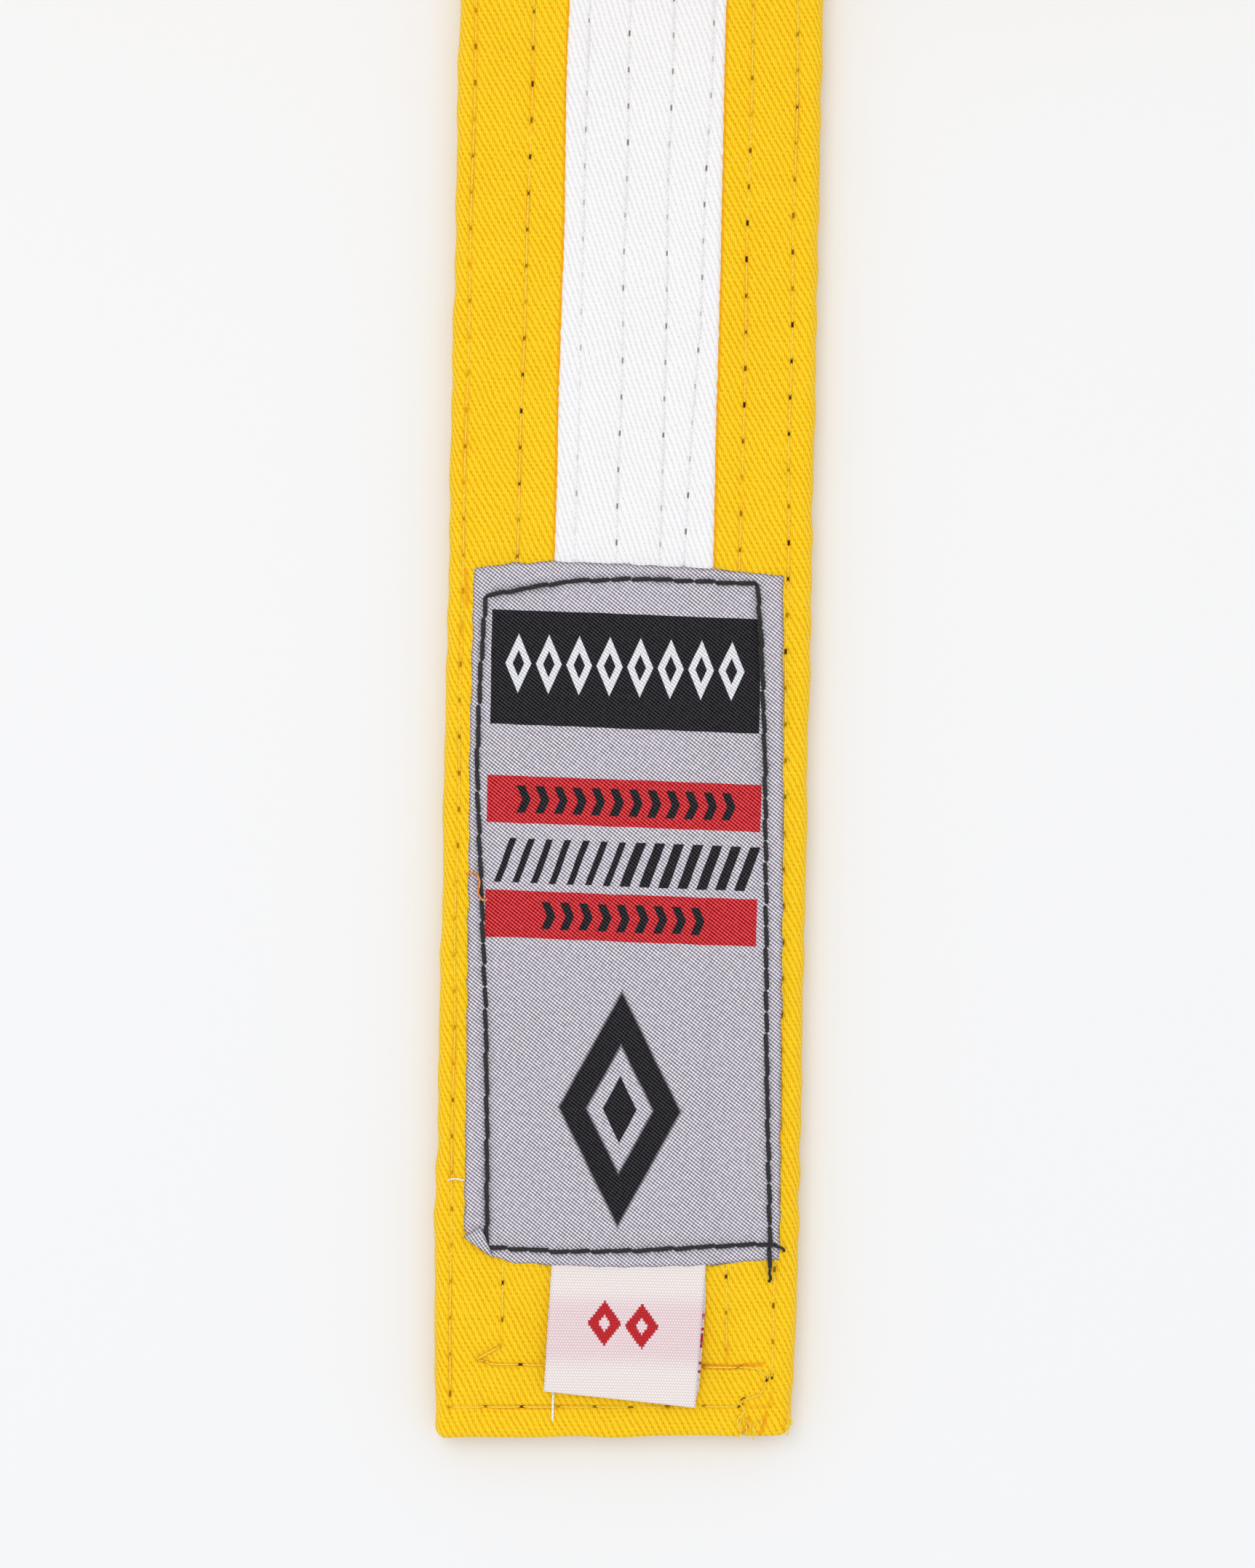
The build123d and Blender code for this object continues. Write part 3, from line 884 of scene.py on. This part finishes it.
def label_piece():
    """The label: a grid fitted between its four edges, with its turned-up corner."""
    s = spaced([0, 1], 0.004, 0.0125, 0.06)
    t = spaced([0, 1], 0.0018, 0.0056, 0.03)
    bottom, top = along_line(LABEL_BOTTOM, s), along_line(LABEL_TOP, s)
    left, right = along_line(LABEL_LEFT, t), along_line(LABEL_RIGHT, t)
    s, t = s[None, :, None], t[:, None, None]
    corners = ((1 - s) * (1 - t) * bottom[0] + s * (1 - t) * bottom[-1]
               + (1 - s) * t * top[0] + s * t * top[-1])
    flat = (1 - t) * bottom[None] + t * top[None] + (1 - s) * left[:, None] + s * right[:, None] - corners
    u, v = flat[..., 0], flat[..., 1]
    from_edge = np.minimum(34 * np.minimum(s, 1 - s), 76 * np.minimum(t, 1 - t))[..., 0]
    h = label_face(u, v, from_edge, frame_distance(u, v))
    ragged = np.exp(-from_edge / 0.5)
    u, v = u + ragged * wobble(v, 83, 5, 0.08), v + ragged * wobble(u, 84, 6, 0.09)
    lining = to_space(u, v, under_label(u, v) - 0.1)
    coords = np.stack([v, u + 0.018 * v, from_edge], axis=-1)
    patch = cloth_mesh(to_space(u, v, h), lining, (6, 6), cloth=coords)
    made = add_object("label_patch", *joined(patch, turned_corner()), label_cloth)
    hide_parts("label")
    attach(made, "belt_end")


def label_material():
    """Grey satin ribbon, with a pattern woven in: a black panel of lozenges, two red bands of chevrons with
    slanting bars between them, and a nested lozenge below."""
    s = Shader("label_satin", roughness=0.65, specular=0.08, sheen=0.02)
    v, u, edge = s.attribute("cloth")

    def lattice(angle, pitch):
        return s.math("COSINE", ribs(v, u, angle, pitch) * (2 * math.pi))

    grit = s.noise(v * 2.2, u * 1.6, 1.0)
    weave = s.ramp(lattice(37, 0.33) * 1.2 + lattice(-57, 0.34) * 0.6 + grit * 0.8, -0.9, 0.9)
    patch = s.noise(v, u, 0.1)

    # the pattern's own coordinates wobble a little with the weave
    x = v + s.noise(u, v, 0.3, 1.0) * 0.08
    y = u + s.noise(v, u, 0.3, 1.0, 3.0) * 0.08

    def block(cx, cy, half_x, half_y):
        return s.within(x, cx, half_x) * s.within(y, cy, half_y)

    def repeat(place, centre, pitch, count):
        """Distance of place from the nearest of count marks about centre, and whether there is one."""
        steps = (place - centre) * (1 / pitch) + (count % 2 == 0) * 0.5
        return (steps - s.math("ROUND", steps)) * pitch, s.within(place, centre, count * pitch / 2)

    def chevrons(centre, cy, half_y, pitch, count, stroke):
        dx, inside = repeat(x, centre, pitch, count)
        bent = dx + abs(y - cy) * 0.42
        return s.within(bent, 0.3 * half_y, stroke / 2) * inside * s.within(y, cy, half_y)

    def slants(centre, cy, half_y, pitch, count, stroke):
        dx, inside = repeat(x - (y - cy) * 0.35, centre, pitch, count)
        return s.within(dx, 0.0, stroke / 2) * inside * s.within(y, cy, half_y)

    def lozenge(dx, cy, half_x, half_y, hole=0.0):
        return s.lozenge(dx, y - cy, half_x, half_y, hole, rim=0.98, soft=0.04)

    panel = block(-0.2, 84.3, 14.8, 6.3)
    dx, inside = repeat(x, -0.3, 3.35, 8)
    marks = lozenge(dx, 84.75, 1.45, 3.3, 0.45) * inside * panel
    red = block(-0.1, 69.8, 15.05, 2.6) | block(-0.2, 57.2, 14.95, 2.6)
    on_band = chevrons(0.0, 69.85, 1.5, 2.05, 12, 0.95) | chevrons(-0.1, 57.15, 1.5, 2.05, 9, 0.95)
    bars = slants(-7.0, 63.1, 2.45, 2.0, 7, 0.75) | slants(7.3, 63.1, 2.45, 2.1, 7, 1.15)
    emblem = lozenge(x - 0.1, 36.2, 6.9, 13.3, 0.52) | lozenge(x - 0.1, 36.2, 1.9, 3.8)
    black = panel * (1.0 - marks) | on_band | bars | emblem

    # each colour as a shaded and a lit copy, mixed by the weave: painted shade between the satin floats and
    # painted highlight on them
    def woven(dark, light):
        return s.mix(weave, linear(*dark), linear(*light))

    grey = s.mix(patch * 0.12 + 0.1, woven((112, 107, 118), (240, 236, 245)), linear(206, 198, 216))
    colour = s.mix(red, grey, woven((136, 0, 4), (242, 78, 86)))
    colour = s.mix(black, colour, woven((1, 1, 1), (62, 60, 66)))
    colour = s.mix(marks, colour, woven((196, 198, 208), (252, 253, 255)))
    # painted shadow along the label's edges and along the turned corner's fold
    s.colour(s.mix(s.ramp(edge, 0.02, 0.4, 0.4, 0.0), colour, linear(96, 92, 102)))
    s.bump(weave + grit * 0.3, 0.045)
    return s.material


label_cloth = label_material()
label_piece()


LABEL_STITCH = 2.35         # stitch length of the label's frame
frame_t = np.linspace(0, 1, 9)
frame_rise = 0.1 * np.sin(np.pi * frame_t)
frame_dive = 0.42 * (bell(frame_t, 0.09) + bell(1 - frame_t, 0.09))
frame_paths = []
for n, line in enumerate(FRAME_LINES):
    points = along_line(line, np.linspace(0, 1, 400))
    run = distance_along(*points.T)
    count = round(run[-1] / LABEL_STITCH)
    for k in range(count):
        at = (k + 0.02 + frame_t * 0.96) / count * run[-1]
        u, v = (np.interp(at, run, points[:, axis]) for axis in (0, 1))
        h = under_label(u, v) + LABEL_CLOTH + 0.09 + frame_rise - frame_dive
        slant = 0.06 * (2 * frame_t - 1) + 0.03 * (-1) ** k
        slant_u, slant_v = (slant, 0) if n in (0, 3) else (0, slant)
        frame_paths.append(to_space(u + slant_u, v + slant_v, h))
frame_thread = tubes("label_stitches", frame_paths, 0.26, 8, black_thread)
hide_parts("label_stitching")
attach(frame_thread, "belt_end")


# ---- size tab: a folded tape, its ends caught under the label ----
TAB_LEFT = [(5.35, -7.6), (12, -7.35), (18.6, -7.05), (24.5, -6.9)]
TAB_RIGHT = [(3.85, 9.05), (12, 9.5), (19.1, 9.9), (24.5, 9.95)]
TAB_LEAF = 0.2
TAB_PICK = 0.31             # from one crossing yarn of the tape to the next


def tab_material():
    """Narrow damask tape: fine white weave, a faint pink band, and two woven lozenges in red."""
    s = Shader("tab_tape", roughness=0.55, specular=0.3, sheen=0.15)
    v, u, leaf = s.attribute("cloth")
    pick = u * (1 / TAB_PICK)
    row = s.math("FLOOR", pick)
    dots = [s.math("SINE", s.math("FRACT", place) * math.pi) for place in (pick, v * (1 / 0.3) + row * 0.5)]
    fuzz = s.noise(v * 3.0, u * 3.0, 1.0)
    weave = s.ramp(dots[0] * dots[1] + fuzz * 0.2, 0.1, 0.8)
    band = s.within(u, 11.9, 3.4, 1.4)
    # painted shade between the weave's dots and painted highlight on them, on the white and on the pink band
    shaded_ground = s.mix(band, linear(231, 219, 217), linear(224, 197, 203))
    lit = s.mix(band, linear(252, 246, 244), linear(248, 231, 234))

    # the pattern steps in whole picks, so its slanting edges are serrated
    x = v + s.noise(row, 0.0, 1.7, 0.0) * 0.12
    y = (row + 0.5) * TAB_PICK
    marks = [s.lozenge(x - cx, y - cy, 1.9, 2.5, 0.36, rim=1.0, soft=0.03)
             for cx, cy in ((-1.1, 12.7), (3.0, 12.45))]
    on_front = (marks[0] | marks[1]) * s.ramp(leaf, 0.4, 0.6)

    # loose ends of the red yarn behind the lozenges, and along the back leaf's edge
    yarn_ends = s.within(u, 12.6, 2.4, 0.1) * s.within(v, 0.95, 4.1, 0.3)
    flecks = s.within(u, 10.5, 3.6, 0.6) * s.within(v, 9.7, 0.9, 0.2)
    behind = yarn_ends | flecks * s.ramp(s.noise(row, 7.0, 1.9, 0.0), -0.1, 0.1)
    behind = behind * s.ramp(leaf, 0.4, 0.6, 1.0, 0.0) * s.ramp(s.noise(row, 2.0, 2.3, 0.0), -0.1, 0.1)
    red = on_front | behind
    # the red is a shaded and a lit copy too, mixed by the weave
    s.colour(s.mix(red, s.mix(weave, shaded_ground, lit), s.mix(weave, linear(160, 0, 14), linear(222, 16, 34))))
    s.bump(weave + red * 0.6, 0.04)
    return s.material


tab_tape = tab_material()


def tab_piece():
    """One strip: up from under the label, down to the fold, and back underneath."""
    leaf_rows = np.linspace(1, 0, 60)
    turn = np.linspace(0, np.pi, 9)[1:-1]
    across = np.linspace(0, 1, 44)
    share = np.concatenate([leaf_rows, 0 * turn, leaf_rows[::-1]])
    upper = np.concatenate([0 * leaf_rows + 1, (1 + np.cos(turn)) / 2, 0 * leaf_rows])
    past_fold = np.concatenate([0 * leaf_rows, np.sin(turn), 0 * leaf_rows])
    left, right = along_line(TAB_LEFT, share), along_line(TAB_RIGHT, share)
    right[:, 1] += (1 - upper) * 0.28 * ease((19 - right[:, 0]) / 4) * ease((right[:, 0] - 4.2) / 2)
    flat = left[:, None] * (1 - across)[None, :, None] + right[:, None] * across[None, :, None]
    fold_radius = 0.27
    u, v = flat[..., 0] - past_fold[:, None] * fold_radius, flat[..., 1]
    out = ease((18.5 - u) / 8)
    rest = FRONT + 0.16 + 0.12 * ease((19.5 - u) / 1.5)
    curl = out * (0.18 + 0.3 * ((v - 1) / 9) ** 2 + 0.1 * np.sin(u * 0.5 + v * 0.35))
    gap = 2 * fold_radius * (1 - 0.35 * ease((u - 14) / 5))
    h = rest + curl + upper[:, None] * gap
    coords = np.stack([v, u, np.repeat(upper[:, None], v.shape[1], 1)], axis=-1)
    face = to_space(u, v, h + (upper[:, None] - 0.5) * TAB_LEAF)
    inner_u = u + past_fold[:, None] * TAB_LEAF
    lining = to_space(inner_u, v, h - (upper[:, None] - 0.5) * TAB_LEAF)
    face, lining, coords = face[::-1], lining[::-1], coords[::-1]
    made = cloth("size_tab_tape", face, lining, (2, 4), tab_tape, cloth=coords)
    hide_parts("size_tab", "size_tab_ends")
    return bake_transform(made, "belt_end", "tab", start=(0, (END_Y + TAB_BEND + 1.5) * MM, FRONT * MM),
                    end=(0, (END_Y + TAB_BEND - 1.5) * MM, FRONT * MM))


tab_piece()


# ---- loose thread ends and fibres ----
def loose(name, radius, material, slot_name, points):
    """A loose end of thread through (u, v, h) points."""
    points = np.array(points, float)
    t = np.linspace(0, len(points) - 1, 12 * len(points))
    line = np.stack([np.interp(t, np.arange(len(points)), points[:, k]) for k in range(3)], axis=1)
    for _ in range(30):
        line[1:-1] = (line[:-2] + 2 * line[1:-1] + line[2:]) / 4
    made = tubes(name, [to_space(*line.T)], radius, 6, material)
    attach(made, "belt_end")


fray_draws = np.random.default_rng(91)
for n in range(9):
    fray_v = fray_draws.uniform(13.6, 16.2) if n < 6 else fray_draws.uniform(18.6, 19.8)
    fray_u = fray_draws.uniform(0.9, 2.4)
    reach, swing = fray_draws.uniform(0.4, 1.0), fray_draws.uniform(-0.5, 0.5)
    loose(f"fray_{n + 1}", 0.09, cover_thread, "cover_thread",
          [(fray_u + 0.6, fray_v, 3.9), (fray_u + 0.1, fray_v + swing, 4.35),
           (fray_u - reach * 0.5, fray_v + swing * 1.8, 4.3), (fray_u - reach, fray_v + swing, 4.0)])

orange_thread = thread_material("orange_fibre", linear(240, 150, 70), linear(214, 120, 50))
LOOSE_ENDS = [
    ("loose_fibre_orange", 0.11, orange_thread, "cover_thread",
     [(61.7, -17.3, 4.7), (62, -16.2, 5), (60.9, -15.7, 5.1), (59.6, -16, 5.1), (58.8, -15.4, 5),
      (58.9, -14.9, 4.9)]),
    ("loose_fibre_white", 0.09, stripe_thread, "stripe_thread",
     [(28, -18.6, 4.2), (28.2, -17.9, 4.4), (28, -16.8, 4.3)]),
    ("lone_white_stitch", 0.13, stripe_thread, "stripe_thread",
     [(5.3, -6.6, 3.8), (5.1, -6.6, 4.25), (3.4, -6.6, 4.3), (1.8, -6.6, 4.25), (1.6, -6.6, 3.7)]),
    ("loose_thread_tail", 0.11, cover_thread, "cover_thread",
     [(4, 14, 4), (3.2, 14.6, 4.3), (2.2, 13.6, 4.35), (0.9, 14.2, 4.1), (0.1, 13.9, 3.4)]),
    ("label_thread_tail_one", 0.17, black_thread, "label_thread",
     [(18.9, 16.95, 4.6), (18.4, 16.9, 4.45), (17.9, 17.1, 4.35), (17.5, 16.85, 4.3)]),
    ("label_thread_tail_two", 0.17, black_thread, "label_thread",
     [(21.45, 17.6, 4.85), (21.4, 18, 4.65), (21.2, 18.35, 4.45), (20.9, 18.5, 4.35)]),
]
for loose_end in LOOSE_ENDS:
    loose(*loose_end)


# ---- floor, light and camera ----
FLOOR_REACH, FLOOR_LINES = 3000.0, 12


def floor_piece():
    s = Shader("studio_floor", roughness=0.9, specular=0.05)
    v, u, _ = s.attribute("cloth")
    s.colour(s.mix(s.noise(v, u, 0.02, 1.0) * 0.02 + 0.02, linear(242, 243, 245), linear(241, 242, 244)))
    places = np.linspace(-FLOOR_REACH, FLOOR_REACH, FLOOR_LINES)
    x, y = np.meshgrid(places, places)
    points = np.stack([x, y, 0 * x], -1).reshape(-1, 3)
    grid = np.arange(FLOOR_LINES ** 2).reshape(FLOOR_LINES, FLOOR_LINES)
    add_object("floor", points * MM, quads(grid), {"cloth": points}, s.material)


floor_piece()

world = bpy.data.worlds.new("studio")
bpy.context.scene.world = world
world.use_nodes = True
world.node_tree.nodes["Background"].inputs["Color"].default_value = (1, 1, 1, 1)
world.node_tree.nodes["Background"].inputs["Strength"].default_value = 0.912

LOOK_U, LOOK_V = 71.94, 0.24            # belt point in the middle of the frame
LEAN = math.radians(1.146)              # the belt leans to the right in the frame
FRAME_HEIGHT = 172.5                    # millimetres of belt from the frame's foot to its head
SENSOR, LENS = 36.0, 100.0
target = np.array([LOOK_V, END_Y + LOOK_U, FRONT]) * MM

softbox = bpy.data.lights.new("key_softbox", "AREA")
softbox.shape = "DISK"
softbox.size = 0.6
softbox.energy = 1.55
key = bpy.data.objects.new("key_softbox", softbox)
key.location = (target[0] - 0.25, target[1] + 0.3, 0.9)
away = np.array(key.location) - target
key.rotation_euler = (math.atan2(math.hypot(away[0], away[1]), away[2]), 0, math.atan2(away[0], -away[1]))

camera_data = bpy.data.cameras.new("camera")
camera_data.lens = LENS
camera_data.sensor_width = SENSOR
camera = bpy.data.objects.new("camera", camera_data)
camera.location = (target[0], target[1], target[2] + FRAME_HEIGHT * MM * LENS / SENSOR)
camera.rotation_euler = (0, 0, LEAN)
for made in (key, camera):
    bpy.context.scene.collection.objects.link(made)
bpy.context.scene.camera = camera
bpy.context.scene.view_settings.view_transform = "Standard"
